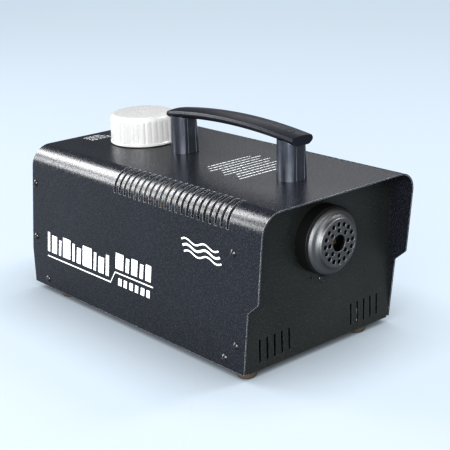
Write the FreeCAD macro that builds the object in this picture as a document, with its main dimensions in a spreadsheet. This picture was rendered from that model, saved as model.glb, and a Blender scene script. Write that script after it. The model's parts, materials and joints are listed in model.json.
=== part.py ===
"""Fog machine: a sheet-steel case with a nozzle, a heater, a pump, a fluid tank and a rear control panel.

Frame: +Z up, the nozzle looks along -Y, and the origin is the centre of the footprint on the floor.
Every driving size is a named cell of the sheet "dim", in millimetres and degrees.
"""
import FreeCAD, Part
import math
import os

import Sketcher
from FreeCAD import Placement, Rotation, Vector

DIMENSIONS = {
    # case
    "body_width": 180, "body_height": 144, "overall_length": 347.5, "foot_height": 6,
    "plate": 1.2, "corner_radius": 19, "fit_gap": 0.3,
    # side outline of the cover, measured back from the front panel and up from the tray
    "front_face": -146.45, "lower_front": -6.2, "step_low": 57, "step_back": -18.8, "step_high": 67.5,
    "rear_top_back": 304, "rear_knee": 36, "step_round": 4,
    # cover vents on both rounded edges
    "vent_count": 22, "vent_pitch": 7.29, "vent_width": 3.1, "vent_front": 14.8,
    "vent_low": 124, "vent_inner": 71,
    # front panel
    "panel_slot_count": 5, "panel_slot_pitch": 8.45, "panel_slot_width": 2.8,
    "panel_slot_low": 6.5, "panel_slot_height": 21, "panel_slot_outer": 71.8,
    "corner_notch": 5, "flange_depth": 16,
    # nozzle
    "nozzle_height": 98.3, "collar_radius": 30.2, "collar_bore": 20, "collar_depth": 13,
    "cap_face_radius": 21.6, "cap_depth": 22.2, "cap_hole_radius": 7.3, "ring_hole": 2,
    "outer_ring": 16.25, "inner_ring": 10.9, "outer_count": 16, "inner_count": 8, "cap_wall": 1.4,
    "tip_radius": 5, "tip_bore": 1.2, "collar_screw_up": 61, "witness_up": 64.6,
    # handle
    "handle_front": 33.5, "handle_span": 143.9, "post_radius": 13, "grip_length": 171,
    "grip_half_width": 12.6, "grip_end_height": 175, "grip_sag": 6.2,
    # feet
    "foot_radius": 8.9, "foot_left": -79, "foot_right": 54.5, "foot_front": 9.6, "foot_rear": 274.5,
    # fluid tank and its cap
    "neck_back": 241.5, "neck_radius": 26, "neck_top": 168.9, "tank_wall": 2, "tank_front": 200,
    "tank_rear": 280, "tank_half_width": 70, "tank_top": 122, "tank_low": 1.2,
    "cap_radius": 33, "cap_height": 29, "cap_lift_gap": 0.6, "cap_rib_count": 32,
    # heater
    "heater_front": 38, "heater_length": 112, "heater_half_width": 32, "heater_height": 52,
    "jacket": 5, "element_x": 20, "element_up": 12, "stand_front": 46, "stand_rear": 134, "stand_sheet": 1.5,
    "stand_foot": 12, "fitting_back": 70, "fitting_up": 90,
    # pump
    "pump_x": -54, "pump_axis": 25, "pump_front": 115, "coil_size": 30, "yoke_sheet": 1.8,
    "sleeve_outer": 6.4, "sleeve_inner": 4.6, "piston_radius": 4.53, "fluid_bore": 1.4, "barb_radius": 2.6,
    "hose_outer": 3.9, "hose_inner": 2.65,
    # control board, held over the tray's floor
    "board_x": 36, "board_back": 66, "board_up": 9, "board_width": 46, "board_length": 84, "board_thick": 1.6,
    # screws
    "screw_head": 3.3, "screw_head_height": 2, "screw_shank": 1.6, "bolt_hole": 2.7,
    "washer_radius": 6, "washer_thick": 1.2, "nut_width": 7, "nut_height": 3.2,
    "foot_screw_front": 19, "foot_screw_rear": 4.6, "foot_recess": 2.5,
    # earth stud, behind the front panel
    "earth_back": 30, "earth_x": 66, "earth_length": 18,
    # rear panel
    "rear_recess": 2.5, "rear_flange": 12,
}

doc = FreeCAD.newDocument("fog_machine")
sheet = doc.addObject("Spreadsheet::Sheet", "dim")
for row, (alias, number) in enumerate(DIMENSIONS.items(), start=1):
    sheet.set(f"A{row}", alias)
    sheet.set(f"B{row}", str(number))
    sheet.setAlias(f"B{row}", alias)
scratch = doc.addObject("Spreadsheet::Sheet", "scratch")
doc.recompute()

NODES = []
BASE = "dim.foot_height"                       # the tray's underside
FACE = "dim.front_face"                        # the front panel's outer face
TOP = "(dim.foot_height + dim.body_height)"    # the cover's outer top


def value(alias):
    """A driving size, read from the sheet."""
    return float(sheet.get(alias))


def at(back, up, across=0):
    """A point in the frame from a distance behind the front panel, a height over the tray, and X."""
    return Vector(across, value("front_face") + back, value("foot_height") + up)


def bind(item, **sizes):
    """Sets properties: a string is an expression on the sheet, a number is a plain value."""
    for name, size in sizes.items():
        path = name.replace("__", ".")
        if isinstance(size, str):
            item.setExpression(path, size)
        elif "." in path:
            item.setExpression(path, repr(float(size)))
        else:
            setattr(item, name, size)
    return item


def place(item, x=0, y=0, z=0):
    return bind(item, Placement__Base__x=x, Placement__Base__y=y, Placement__Base__z=z)


def box(name, x, y, z, length, width, height):
    """A box from its lowest corner and its sizes along X, Y and Z."""
    made = doc.addObject("Part::Box", name)
    bind(made, Length=length, Width=width, Height=height)
    return place(made, x, y, z)


AXES = {"z": Rotation(), "x": Rotation(Vector(0, 1, 0), 90), "y": Rotation(Vector(1, 0, 0), -90)}


def cylinder(name, radius, height, x=0, y=0, z=0, axis="z"):
    """A cylinder that grows from its end centre along +X, +Y or +Z."""
    made = doc.addObject("Part::Cylinder", name)
    made.Placement = Placement(Vector(), AXES[axis])
    bind(made, Radius=radius, Height=height)
    return place(made, x, y, z)


def cone(name, radius_low, radius_high, height, x=0, y=0, z=0, axis="z"):
    made = doc.addObject("Part::Cone", name)
    made.Placement = Placement(Vector(), AXES[axis])
    bind(made, Radius1=radius_low, Radius2=radius_high, Height=height)
    return place(made, x, y, z)


def fuse(name, *items):
    made = doc.addObject("Part::MultiFuse", name)
    made.Shapes = list(items)
    made.Refine = True
    return made


def cut(name, base, *tools):
    made = doc.addObject("Part::Cut", name)
    made.Base = base
    made.Tool = tools[0] if len(tools) == 1 else fuse(name + "_tools", *tools)
    made.Refine = True
    return made


def common(name, *items):
    made = doc.addObject("Part::MultiCommon", name)
    made.Shapes = list(items)
    return made


def feature(name, shape):
    """A shape made with Part's own functions, where no primitive or sketch fits."""
    made = doc.addObject("Part::Feature", name)
    made.Shape = shape
    return made


def node(item, label):
    """Marks an object as a sub-part: its label names its file."""
    item.Label = label
    NODES.append(item)
    return item


def round_edges(name, item, radius, wanted):
    """A fillet of a radius in millimetres on the edges that wanted(edge) picks."""
    doc.recompute()
    picked = [i for i, edge in enumerate(item.Shape.Edges, start=1) if wanted(edge)]
    made = doc.addObject("Part::Fillet", name)
    made.Base = item
    made.Edges = [(i, radius, radius) for i in picked]
    return made


def plane_of(body, role):
    return next(f for f in body.Origin.OriginFeatures if f.Role == role)


def number(size):
    """The size that a sheet expression stands for, read through a spare cell. Plain numbers pass through."""
    if not isinstance(size, str):
        return float(size)
    scratch.set("A1", "=" + size)
    scratch.recompute()
    return float(scratch.get("A1"))


def outline(owner, name, plane, points):
    """A closed sketch of straight edges whose corners are bound to expressions on the sheet."""
    sketch = owner.newObject("Sketcher::SketchObject", name)
    sketch.AttachmentSupport = [(plane_of(owner, plane), "")]
    sketch.MapMode = "FlatFace"
    doc.recompute()
    corners = [Vector(number(across), number(along)) for across, along in points]
    count = len(corners)
    for i in range(count):
        sketch.addGeometry(Part.LineSegment(corners[i], corners[(i + 1) % count]), False)
    for i in range(count):
        sketch.addConstraint(Sketcher.Constraint("Coincident", i, 2, (i + 1) % count, 1))
    for i, (across, along) in enumerate(points):
        ways = (("DistanceX", across, corners[i].x), ("DistanceY", along, corners[i].y))
        for kind, expression, now in ways:
            index = sketch.addConstraint(Sketcher.Constraint(kind, -1, 1, i, 1, now))
            if isinstance(expression, str):
                sketch.setExpression(f"Constraints[{index}]", expression)
    return sketch


def body(name):
    made = doc.addObject("PartDesign::Body", name)
    doc.recompute()
    return made


def revolve(owner, name, sketch, angle=360, axis="V_Axis", groove=False, middle=False):
    made = owner.newObject("PartDesign::Groove" if groove else "PartDesign::Revolution", name)
    made.Profile = sketch
    made.ReferenceAxis = (sketch, [axis])
    bind(made, Angle=angle)
    made.Midplane = middle
    return made


def pad(owner, name, sketch, length, middle=False, pocket=False, through=False):
    made = owner.newObject("PartDesign::Pocket" if pocket else "PartDesign::Pad", name)
    made.Profile = sketch
    if through:
        made.Type = 1
    else:
        bind(made, Length=length)
    made.Midplane = middle
    return made


def polar(owner, name, original, axis_role, count):
    made = owner.newObject("PartDesign::PolarPattern", name)
    made.Originals = [original]
    made.Axis = (plane_of(owner, axis_role), [""])
    made.Angle = 360
    bind(made, Occurrences=count)
    owner.Tip = made
    return made


def tangent_path(points):
    """Straight runs joined by tangent arcs, each as large as its two runs allow."""
    edges, here = [], points[0]
    for before, corner, after in zip(points, points[1:], points[2:]):
        back, ahead = before - corner, after - corner
        run = min(back.Length, ahead.Length)
        back.normalize()
        ahead.normalize()
        half_turn = (math.pi - back.getAngle(ahead)) / 2
        reach = 0.45 * run
        start, end = corner + back * reach, corner + ahead * reach
        radius = reach / math.tan(half_turn)
        middle_way = back + ahead
        middle_way.normalize()
        centre = corner + middle_way * (radius / math.cos(half_turn))
        middle = centre - middle_way * radius
        edges.append(Part.LineSegment(here, start).toShape())
        edges.append(Part.Arc(start, middle, end).toShape())
        here = end
    edges.append(Part.LineSegment(here, points[-1]).toShape())
    return Part.Wire(edges)


def tube(points, outer, inner=0):
    """A hose or wire along points, as one closed solid."""
    path = tangent_path(points)
    heading = points[1] - points[0]
    def swept(radius):
        ring = Part.Wire(Part.makeCircle(radius, points[0], heading))
        return path.makePipeShell([ring], True, True)
    made = swept(outer)
    return made.cut(swept(inner)) if inner else made


# ---------------------------------------------------------------- case


def make_cover():
    """The folded cover: two sides and a top with rounded edges, longer than the tray at the front."""
    owner = body("cover")
    half, rear = "dim.body_width / 2", "dim.overall_length / 2"
    section = outline(owner, "cover_section", "XZ_Plane", [
        (f"-{half}", BASE), (half, BASE), (half, TOP), (f"-{half}", TOP)])
    blank = pad(owner, "cover_blank", section, "dim.overall_length", middle=True)
    doc.recompute()
    top, width = value("foot_height") + value("body_height"), value("body_width") / 2
    def long_top(edge):
        box_ = edge.BoundBox
        return box_.YLength > 100 and abs(box_.ZMin - top) < 0.01 and abs(abs(box_.XMin) - width) < 0.01
    rounded = owner.newObject("PartDesign::Fillet", "cover_rounding")
    names = [f"Edge{i}" for i, e in enumerate(blank.Shape.Edges, 1) if long_top(e)]
    rounded.Base = (blank, names)
    bind(rounded, Radius="dim.corner_radius")
    doc.recompute()
    def open_face(face):
        box_ = face.BoundBox
        return box_.YLength < 0.01 or (box_.ZLength < 0.01 and box_.ZMin < value("foot_height") + 1)
    shell = owner.newObject("PartDesign::Thickness", "cover_shell")
    shell.Base = (rounded, [f"Face{i}" for i, f in enumerate(rounded.Shape.Faces, 1) if open_face(f)])
    bind(shell, Value="dim.plate")
    shell.Reversed = True
    shell.Mode = 0
    shell.Join = 1
    doc.recompute()
    # The YZ plane's sketch axes are Y and Z.
    out = f"-({rear}) - 10"
    front = outline(owner, "front_waste", "YZ_Plane", [
        (f"{FACE} + 0.9", f"{BASE} - 5"), (f"{FACE} + 0.9", BASE),
        (f"{FACE} + dim.lower_front", f"{BASE} + dim.step_low"),
        (f"{FACE} + dim.step_back", f"{BASE} + dim.step_high"),
        (f"-({rear})", TOP), (f"-({rear})", f"{TOP} + 5"), (out, f"{TOP} + 5"), (out, f"{BASE} - 5")])
    front_cut = pad(owner, "front_cut", front, 0, middle=True, pocket=True, through=True)
    back = outline(owner, "rear_waste", "YZ_Plane", [
        (rear, f"{BASE} + dim.rear_knee"), (f"{FACE} + dim.rear_top_back", TOP),
        (f"{FACE} + dim.rear_top_back", f"{TOP} + 5"), (f"{rear} + 10", f"{TOP} + 5"),
        (f"{rear} + 10", f"{BASE} + dim.rear_knee")])
    rear_cut = pad(owner, "rear_cut", back, 0, middle=True, pocket=True, through=True)
    doc.recompute()
    low = at(value("lower_front"), value("step_low"))
    high = at(value("step_back"), value("step_high"))
    def step_corner(edge):
        middle = edge.CenterOfMass
        return edge.BoundBox.XLength < 2 and any(
            abs(middle.y - p.y) < 0.1 and abs(middle.z - p.z) < 0.1 for p in (low, high))
    step = owner.newObject("PartDesign::Fillet", "step_rounding")
    step.Base = (rear_cut, [f"Edge{i}" for i, e in enumerate(rear_cut.Shape.Edges, 1) if step_corner(e)])
    bind(step, Radius="dim.step_round")
    owner.Tip = step
    return owner


def cover_screw_places():
    """Where the cover's screws are: (back, up) on each side."""
    return [(9.3, 105), (9.8, 24), (24.5, 9.2), (296, 8), (304.2, 107), (311.6, 50)]


def make_cover_openings(cover):
    """Vents on both rounded edges, and the holes for the tank neck, the handle and the screws."""
    tools = []
    reach = "(dim.body_width / 2 - dim.vent_inner + 2)"
    for i in range(int(value("vent_count"))):
        y = f"{FACE} + dim.vent_front + {i} * dim.vent_pitch - dim.vent_width / 2"
        for side, x in (("left", "-dim.body_width / 2 - 2"), ("right", "dim.vent_inner")):
            tools.append(box(f"vent_{side}_{i}", x, y, f"{BASE} + dim.vent_low", reach, "dim.vent_width", 30))
    below_top = f"{TOP} - 10"
    tools.append(cylinder("neck_hole", "dim.neck_radius + 3.5", 20, 0, f"{FACE} + dim.neck_back", below_top))
    for name, y in (("front", "0"), ("rear", "dim.handle_span")):
        tools.append(cylinder(f"handle_hole_{name}", "dim.bolt_hole", 20, 0,
                              f"{FACE} + dim.handle_front + {y}", below_top))
    for i, (back, up) in enumerate(cover_screw_places()):
        tools.append(cylinder(f"cover_screw_hole_{i}", "dim.screw_shank + 0.3", 240, -120,
                              f"{FACE} + {back}", f"{BASE} + {up}", "x"))
    return node(cut("top_cover", cover, *tools), "top_cover")


def inner_section(name, gap):
    """A long block that fills the cover's inside, less a gap, for trimming panels to it."""
    half = f"(dim.body_width / 2 - dim.plate - {gap})"
    height = f"dim.body_height - dim.plate - {gap}"
    block = box(name + "_block", f"-{half}", -200, BASE, f"2 * {half}", 400, height)
    doc.recompute()
    top = block.Shape.BoundBox.ZMax
    side = block.Shape.BoundBox.XMax
    return round_edges(name, block, value("corner_radius") - value("plate") - gap, lambda e: (
        e.BoundBox.YLength > 100 and abs(e.BoundBox.ZMin - top) < 0.01
        and abs(abs(e.BoundBox.XMin) - side) < 0.01))


def make_tray():
    """Floor, front panel and their flanges, folded from one sheet."""
    half = "(dim.body_width / 2 - dim.plate - dim.fit_gap)"
    trim = inner_section("tray_trim", value("fit_gap"))
    front = common("front_wall", trim, box("front_wall_block", -100, FACE, 0, 200, "dim.plate", 200))
    floor = box("floor", f"-{half}", FACE, BASE, f"2 * {half}",
                "dim.overall_length / 2 - dim.rear_recess - dim.front_face", "dim.plate")
    flanges = []
    for side, x in (("left", f"-{half}"), ("right", f"{half} - dim.plate")):
        flanges.append(box(f"front_flange_{side}", x, FACE, f"{BASE} + 3", "dim.plate", "dim.flange_depth",
                           "dim.vent_low - 14"))
        flanges.append(box(f"floor_flange_{side}", x, f"{FACE} + 18", BASE, "dim.plate",
                           "dim.rear_top_back - 14", 14))
    sheet_metal = fuse("tray_sheet", front, floor, *flanges)
    tools = [cylinder("nozzle_hole", 11, 20, 0, f"{FACE} - 5", f"{BASE} + dim.nozzle_height", "y"),
             cylinder("collar_screw_hole", 1.7, 10, 1, f"{FACE} - 5", f"{BASE} + dim.collar_screw_up", "y"),
             cylinder("witness_hole", 1.2, 10, -11, f"{FACE} - 5", f"{BASE} + dim.witness_up", "y")]
    for i in range(int(value("panel_slot_count"))):
        for side, x in (("left", f"-dim.panel_slot_outer + {i} * dim.panel_slot_pitch"),
                        ("right", f"dim.panel_slot_outer - {i} * dim.panel_slot_pitch")):
            radius = "dim.panel_slot_width / 2"
            low = f"{BASE} + dim.panel_slot_low + {radius}"
            high = f"{BASE} + dim.panel_slot_low + dim.panel_slot_height - {radius}"
            tools.append(box(f"slot_{side}_{i}", f"{x} - {radius}", f"{FACE} - 2", low,
                             "dim.panel_slot_width", 6, "dim.panel_slot_height - dim.panel_slot_width"))
            tools.append(cylinder(f"slot_low_{side}_{i}", radius, 6, x, f"{FACE} - 2", low, "y"))
            tools.append(cylinder(f"slot_high_{side}_{i}", radius, 6, x, f"{FACE} - 2", high, "y"))
    for side, x in (("left", f"-{half} - 2"), ("right", f"{half} - dim.corner_notch + 2")):
        tools.append(box(f"corner_notch_{side}", x, f"{FACE} - 1", f"{BASE} - 1", "dim.corner_notch", 4, 3.4))
    for i, (back, up) in enumerate(cover_screw_places()[:4]):
        tools.append(cylinder(f"tray_screw_hole_{i}", "dim.screw_shank + 0.1", 240, -120,
                              f"{FACE} + {back}", f"{BASE} + {up}", "x"))
    for name, x, y in foot_places():
        tools.append(cylinder(f"tray_{name}_hole", 2.2, 8, x, y, f"{BASE} - 3"))
    tools += floor_screw_holes("tray", FLOOR_SCREWS)
    return node(cut("chassis_tray", sheet_metal, *tools), "chassis_tray")


PUMP_SCREWS = [(143, -73.5), (143, -34.5)]
STAND_SCREWS = {"front": [(52, -22), (52, 22)], "rear": [(140, -22), (140, 22)]}
REAR_SCREWS = [(311, -60), (311, 60)]
FLOOR_SCREWS = PUMP_SCREWS + STAND_SCREWS["front"] + STAND_SCREWS["rear"] + REAR_SCREWS


def floor_screw_holes(owner, places):
    """Clearance holes for the screws that come up through the tray's floor."""
    return [cylinder(f"{owner}_floor_hole_{i}", "dim.screw_shank + 0.15", 16, across, f"{FACE} + {back}",
                     f"{BASE} - 5")
            for i, (back, across) in enumerate(places)]


def foot_places():
    return [(f"foot_{end}_{side}", f"dim.foot_{side}", f"{FACE} + dim.foot_{end}")
            for end in ("front", "rear") for side in ("left", "right")]


def make_feet():
    """Four moulded rubber feet, each held by a screw in a recess."""
    for name, x, y in foot_places():
        owner = body(name)
        sketch = outline(owner, name + "_half", "XZ_Plane", [
            (2.3, 2.6), (2.3, "dim.foot_height"), ("dim.foot_radius", "dim.foot_height"),
            ("dim.foot_radius", "dim.foot_height - 2.2"), ("dim.foot_radius - 0.6", 1.1),
            ("dim.foot_radius - 1.8", 0), (4.6, 0), (4.6, 2.6)])
        revolve(owner, name + "_turned", sketch)
        place(owner, x, y, 0)
        node(owner, name)


def pan_screw(length):
    """A pan-head cross-recess screw that points along -Z, with the underside of its head at the origin."""
    radius, height, shank = value("screw_head"), value("screw_head_height"), value("screw_shank")
    flatness, arm_share, blade_share, deep_share, recess_turn = 1.15, 0.62, 0.17, 0.62, 20
    dome_radius = (radius ** 2 + height ** 2) / (2 * height) * flatness
    dome = Part.makeSphere(dome_radius, Vector(0, 0, height - dome_radius))
    head = Part.makeCylinder(radius, height).common(dome)
    solid = head.fuse(Part.makeCylinder(shank, length, Vector(0, 0, -length))).removeSplitter()
    arm, blade, deep = radius * arm_share, radius * blade_share, height * deep_share
    for turn in (0, 90):
        slot = Part.makeBox(2 * arm, 2 * blade, deep + 1, Vector(-arm, -blade, height - deep))
        slot.rotate(Vector(), Vector(0, 0, 1), turn + recess_turn)
        solid = solid.cut(slot)
    return solid


def hex_nut(point, bore=0):
    """A hexagonal nut that stands on a point, with a bore if it is a separate piece."""
    across, high = value("nut_width"), value("nut_height")
    corners = [point + Vector(math.cos(a), math.sin(a)) * (across / math.sqrt(3))
               for a in (math.radians(60 * i) for i in range(6))]
    solid = Part.Face(Part.makePolygon(corners + corners[:1])).extrude(Vector(0, 0, high))
    return solid.cut(Part.makeCylinder(bore, high, point)) if bore else solid


def aimed(solid, point, direction):
    """A copy of a solid made along +Z, moved to a point and turned to a direction."""
    copy = solid.copy()
    copy.Placement = Placement(point, Rotation(Vector(0, 0, 1), direction))
    return copy


def group(label, solids):
    return node(feature(label, Part.makeCompound(solids)), label)


def make_case_screws():
    side, screw = value("body_width") / 2, pan_screw(7)
    group("cover_screws", [aimed(screw, at(back, up, x), Vector(x, 0, 0))
                           for back, up in cover_screw_places() for x in (-side, side)])
    up = Vector(0, 0, -1)
    group("floor_screws", [aimed(pan_screw(5), at(back, 0, across), up) for back, across in FLOOR_SCREWS])
    # the front feet's screws are long and end in nuts on the floor; the rear ones stay clear of the tank
    solids = []
    for end in ("front", "rear"):
        screw = pan_screw(value(f"foot_screw_{end}"))
        for side in ("left", "right"):
            back, across = value(f"foot_{end}"), value(f"foot_{side}")
            head = at(back, value("foot_recess") - value("foot_height"), across)
            solids.append(aimed(screw, head, up))
            if end == "front":
                solids.append(hex_nut(at(back, value("plate"), across), value("screw_shank") + 0.05))
    group("foot_screws", solids)


# ---------------------------------------------------------------- nozzle


def make_nozzle():
    """Black collar on the front panel, and the pressed steel cap with its rings of holes."""
    centre = f"{BASE} + dim.nozzle_height"
    owner = body("collar")
    rim, lip = "dim.collar_radius", "dim.collar_depth"
    sketch = outline(owner, "collar_half", "XZ_Plane", [
        ("dim.collar_bore", 0), (rim, 0), (rim, f"{lip} - 0.8"), (f"{rim} - 0.8", lip),
        (f"{rim} - 1.8", lip), (f"{rim} - 1.8", 1.5), ("dim.collar_bore", 1.5)])
    revolve(owner, "collar_turned", sketch)
    owner.Placement = Placement(Vector(), Rotation(Vector(1, 0, 0), 90))
    place(owner, 0, FACE, centre)
    node(owner, "nozzle_collar")
    # cap: a domed shoulder, a groove, a raised rim round a flat perforated face, and a skirt in the collar
    cap = body("cap")
    face, front, wall = "dim.cap_face_radius", "dim.cap_depth", "dim.cap_wall"
    sketch = outline(cap, "cap_half", "XZ_Plane", [
        (0, front), (f"{face} - 2", front), (f"{face} - 0.7", f"{front} - 0.5"), (face, f"{front} - 2"),
        (f"{face} + 1", f"{front} - 4"), (f"{face} + 2.4", f"{front} - 5.2"), (f"{face} + 4", f"{front} - 6"),
        (f"{face} + 6", f"{front} - 7.3"), (f"{rim} - 1.3", f"{lip} + 0.7"), (f"{rim} - 1.2", f"{lip} + 0.1"),
        (f"{rim} - 1.9", f"{lip} + 0.1"), (f"{rim} - 1.9", f"{lip} - 4"), (f"{rim} - 3.1", f"{lip} - 4"),
        (f"{rim} - 3.1", f"{lip} + 0.6"), (f"{face} + 3", f"{front} - 7"), (f"{face} + 1", f"{front} - 6"),
        (f"{face} - 1", f"{front} - 3.2"), (f"{face} - 2", f"{front} - {wall}"), (0, f"{front} - {wall}")])
    revolve(cap, "cap_turned", sketch)
    doc.recompute()

    def hole(name, across, radius):
        ring = cap.newObject("Sketcher::SketchObject", name + "_sketch")
        ring.AttachmentSupport = [(plane_of(cap, "XY_Plane"), "")]
        ring.MapMode = "FlatFace"
        middle = Vector(value(across) if across else 0, 0, 0)
        ring.addGeometry(Part.Circle(middle, Vector(0, 0, 1), value(radius)), False)
        size = ring.addConstraint(Sketcher.Constraint("Radius", 0, value(radius)))
        ring.setExpression(f"Constraints[{size}]", f"dim.{radius}")
        if across:
            where = ring.addConstraint(Sketcher.Constraint("DistanceX", -1, 1, 0, 3, value(across)))
            ring.setExpression(f"Constraints[{where}]", f"dim.{across}")
            ring.addConstraint(Sketcher.Constraint("PointOnObject", 0, 3, -1))
        else:
            ring.addConstraint(Sketcher.Constraint("Coincident", 0, 3, -1, 1))
        pocket = pad(cap, name, ring, 60, pocket=True, middle=True)
        doc.recompute()
        return pocket
    hole("throat_hole", None, "cap_hole_radius")
    outer = hole("outer_hole", "outer_ring", "ring_hole")
    polar(cap, "outer_holes", outer, "Z_Axis", "dim.outer_count")
    doc.recompute()
    inner = hole("inner_hole", "inner_ring", "ring_hole")
    polar(cap, "inner_holes", inner, "Z_Axis", "dim.inner_count")
    cap.Placement = Placement(Vector(), Rotation(Vector(1, 0, 0), 90))
    place(cap, 0, FACE, centre)
    node(cap, "nozzle_cap")
    # brass tip inside the cap, screwed on the heater's outlet pipe
    shell = fuse("tip_solid", cylinder("tip_round", "dim.tip_radius", 14, 0, f"{FACE} - 13", centre, "y"),
                 cone("tip_nose", 2, "dim.tip_radius", 3, 0, f"{FACE} - 16", centre, "y"))
    node(cut("nozzle_tip", shell, cylinder("tip_bore", "dim.tip_bore", 40, 0, f"{FACE} - 20", centre, "y")),
         "nozzle_tip")
    group("collar_screw", [aimed(pan_screw(5), at(0, value("collar_screw_up"), 1), Vector(0, -1, 0))])


# ---------------------------------------------------------------- handle


def make_handle():
    """An arched grip on two posts, bolted from inside the cover."""
    grip = body("grip")
    half, end = "dim.grip_half_width", "dim.grip_end_height"
    bow = "((dim.grip_length / 2)^2 + dim.grip_sag^2) / (2 * dim.grip_sag)"
    sketch = outline(grip, "grip_section", "XZ_Plane", [
        (-7.5, f"{bow}"), (7.5, f"{bow}"), (f"{half} - 1.4", f"{bow} + 2.4"), (half, f"{bow} + 4.6"),
        (f"{half} - 1.2", f"{bow} + 7.4"), (5, f"{bow} + 8.7"), (-5, f"{bow} + 8.7"),
        (f"-{half} + 1.2", f"{bow} + 7.4"), (f"-{half}", f"{bow} + 4.6"), (f"-{half} + 1.4", f"{bow} + 2.4")])
    revolve(grip, "grip_arch", sketch, angle=f"2 * asin(dim.grip_length / 2 / ({bow} + 4))", axis="H_Axis",
            middle=True)
    place(grip, 0, f"{FACE} + dim.handle_front + dim.handle_span / 2",
          f"{BASE} + {end} + dim.grip_sag - ({bow})")
    doc.recompute()
    posts = []
    front_y = f"{FACE} + dim.handle_front"
    for name, y in (("front", front_y), ("rear", f"{front_y} + dim.handle_span")):
        round_post = cone(f"post_{name}_round", "dim.post_radius", "dim.post_radius - 0.9", 35, 0, y, TOP)
        flat = box(f"post_{name}_flat", -20, f"{y} - 30 - dim.post_radius + 2.6", f"{TOP} - 1", 40, 30, 60)
        groove_y = f"{y} - dim.post_radius + 2.2"
        grooves = [cylinder(f"post_{name}_groove_{side}", 0.9, 60, x, groove_y, f"{TOP} - 1")
                   for side, x in (("left", -4.6), ("right", 4.6))]
        bore = cylinder(f"post_{name}_bore", 2.6, 24, 0, y, f"{TOP} - 1")
        shape = cut(f"post_{name}_shape", round_post, flat, *grooves, bore)
        posts.append((name, shape))
    for name, shape in posts:
        node(cut(f"handle_post_{name}", shape, grip), f"handle_post_{name}")
    node(grip, "handle_grip")
    bolts, thick = [], value("washer_thick")
    for back in (value("handle_front"), value("handle_front") + value("handle_span")):
        under = at(back, value("body_height") - value("plate") - thick)
        washer = Part.makeCylinder(value("washer_radius"), thick, under)
        washer = washer.cut(Part.makeCylinder(value("bolt_hole"), thick, under))
        bolts += [washer, aimed(pan_screw(20), under, Vector(0, 0, -1))]
    group("handle_bolts", bolts)


# ---------------------------------------------------------------- fluid tank


def make_tank():
    """Blow-moulded tank with a filler neck, a seal where the neck leaves the cover, liner and cap."""
    y, half, wall = f"{FACE} + dim.neck_back", "dim.tank_half_width", "dim.tank_wall"
    deep = "(dim.tank_rear - dim.tank_front)"
    outer = box("tank_outer", f"-{half}", f"{FACE} + dim.tank_front", f"{BASE} + dim.tank_low",
                f"2 * {half}", deep, "dim.tank_top - dim.tank_low")
    rounded = round_edges("tank_rounded", outer, 9, lambda e: True)
    inner = box("tank_inner", f"-{half} + {wall}", f"{FACE} + dim.tank_front + {wall}",
                f"{BASE} + dim.tank_low + {wall}", f"2 * {half} - 2 * {wall}", f"{deep} - 2 * {wall}",
                f"dim.tank_top - dim.tank_low - 2 * {wall}")
    hollow = round_edges("tank_hollow", inner, 7, lambda e: True)
    neck = cylinder("tank_neck", "dim.neck_radius", "dim.neck_top - dim.tank_top + 6", 0, y,
                    f"{BASE} + dim.tank_top - 6")
    beads = [cylinder(f"neck_bead_{i}", "dim.neck_radius + 0.9", 1.4, 0, y, f"{TOP} + 5 + {i} * 6")
             for i in range(3)]
    hose_up = f"{BASE} + dim.pump_axis"
    tank_y = f"{FACE} + dim.tank_front"
    barb = cylinder("tank_barb", "dim.barb_radius", 12, "dim.pump_x", f"{tank_y} - 10", hose_up, "y")
    skin = fuse("tank_skin", rounded, neck, barb, *beads)
    bore = cylinder("neck_bore", "dim.neck_radius - 2.4", 80, 0, y, f"{BASE} + dim.tank_top - 12")
    barb_bore = cylinder("barb_bore", 1.5, 40, "dim.pump_x", f"{tank_y} - 20", hose_up, "y")
    node(cut("fluid_tank", skin, hollow, bore, barb_bore), "fluid_tank")
    ring = cylinder("seal_ring", "dim.neck_radius + 7", 1.6, 0, y, f"{TOP} - dim.plate - 1.6")
    lip = cylinder("seal_lip", "dim.neck_radius + 3.3", 2.6, 0, y, f"{TOP} - 2.6")
    seal_bore = cylinder("seal_bore", "dim.neck_radius + 0.2", 10, 0, y, f"{TOP} - 6")
    node(cut("neck_seal", fuse("seal_solid", ring, lip), seal_bore), "neck_seal")
    node(cylinder("cap_liner", "dim.neck_radius + 1", 2, 0, y, f"{BASE} + dim.neck_top + 0.3"), "cap_liner")
    owner = body("tank_cap_body")
    rad, high = "dim.cap_radius", "dim.cap_height"
    sketch = outline(owner, "tank_cap_half", "XZ_Plane", [
        ("dim.neck_radius + 1.3", 0), (rad, 0), (rad, 2.2), (f"{rad} - 0.7", 2.8),
        (f"{rad} - 1.1", f"{high} - 6"), (f"{rad} - 1.9", f"{high} - 3"), (f"{rad} - 3.8", f"{high} - 1"),
        (f"{rad} - 6.4", high), (0, high), (0, f"{high} - 2.4"), ("dim.neck_radius + 1.3", f"{high} - 2.4")])
    revolve(owner, "tank_cap_turned", sketch)
    doc.recompute()
    rib = outline(owner, "rib_section", "XY_Plane", [
        (f"{rad} - 1.6", -1.6), (f"{rad} - 0.55", -1.2), (f"{rad} - 0.55", 1.2), (f"{rad} - 1.6", 1.6)])
    rib_pad = pad(owner, "rib", rib, f"{high} - 5.4")
    doc.recompute()
    polar(owner, "ribs", rib_pad, "Z_Axis", "dim.cap_rib_count")
    place(owner, 0, y, f"{TOP} + dim.cap_lift_gap")
    node(owner, "tank_cap")


# ---------------------------------------------------------------- heater and pump


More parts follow.
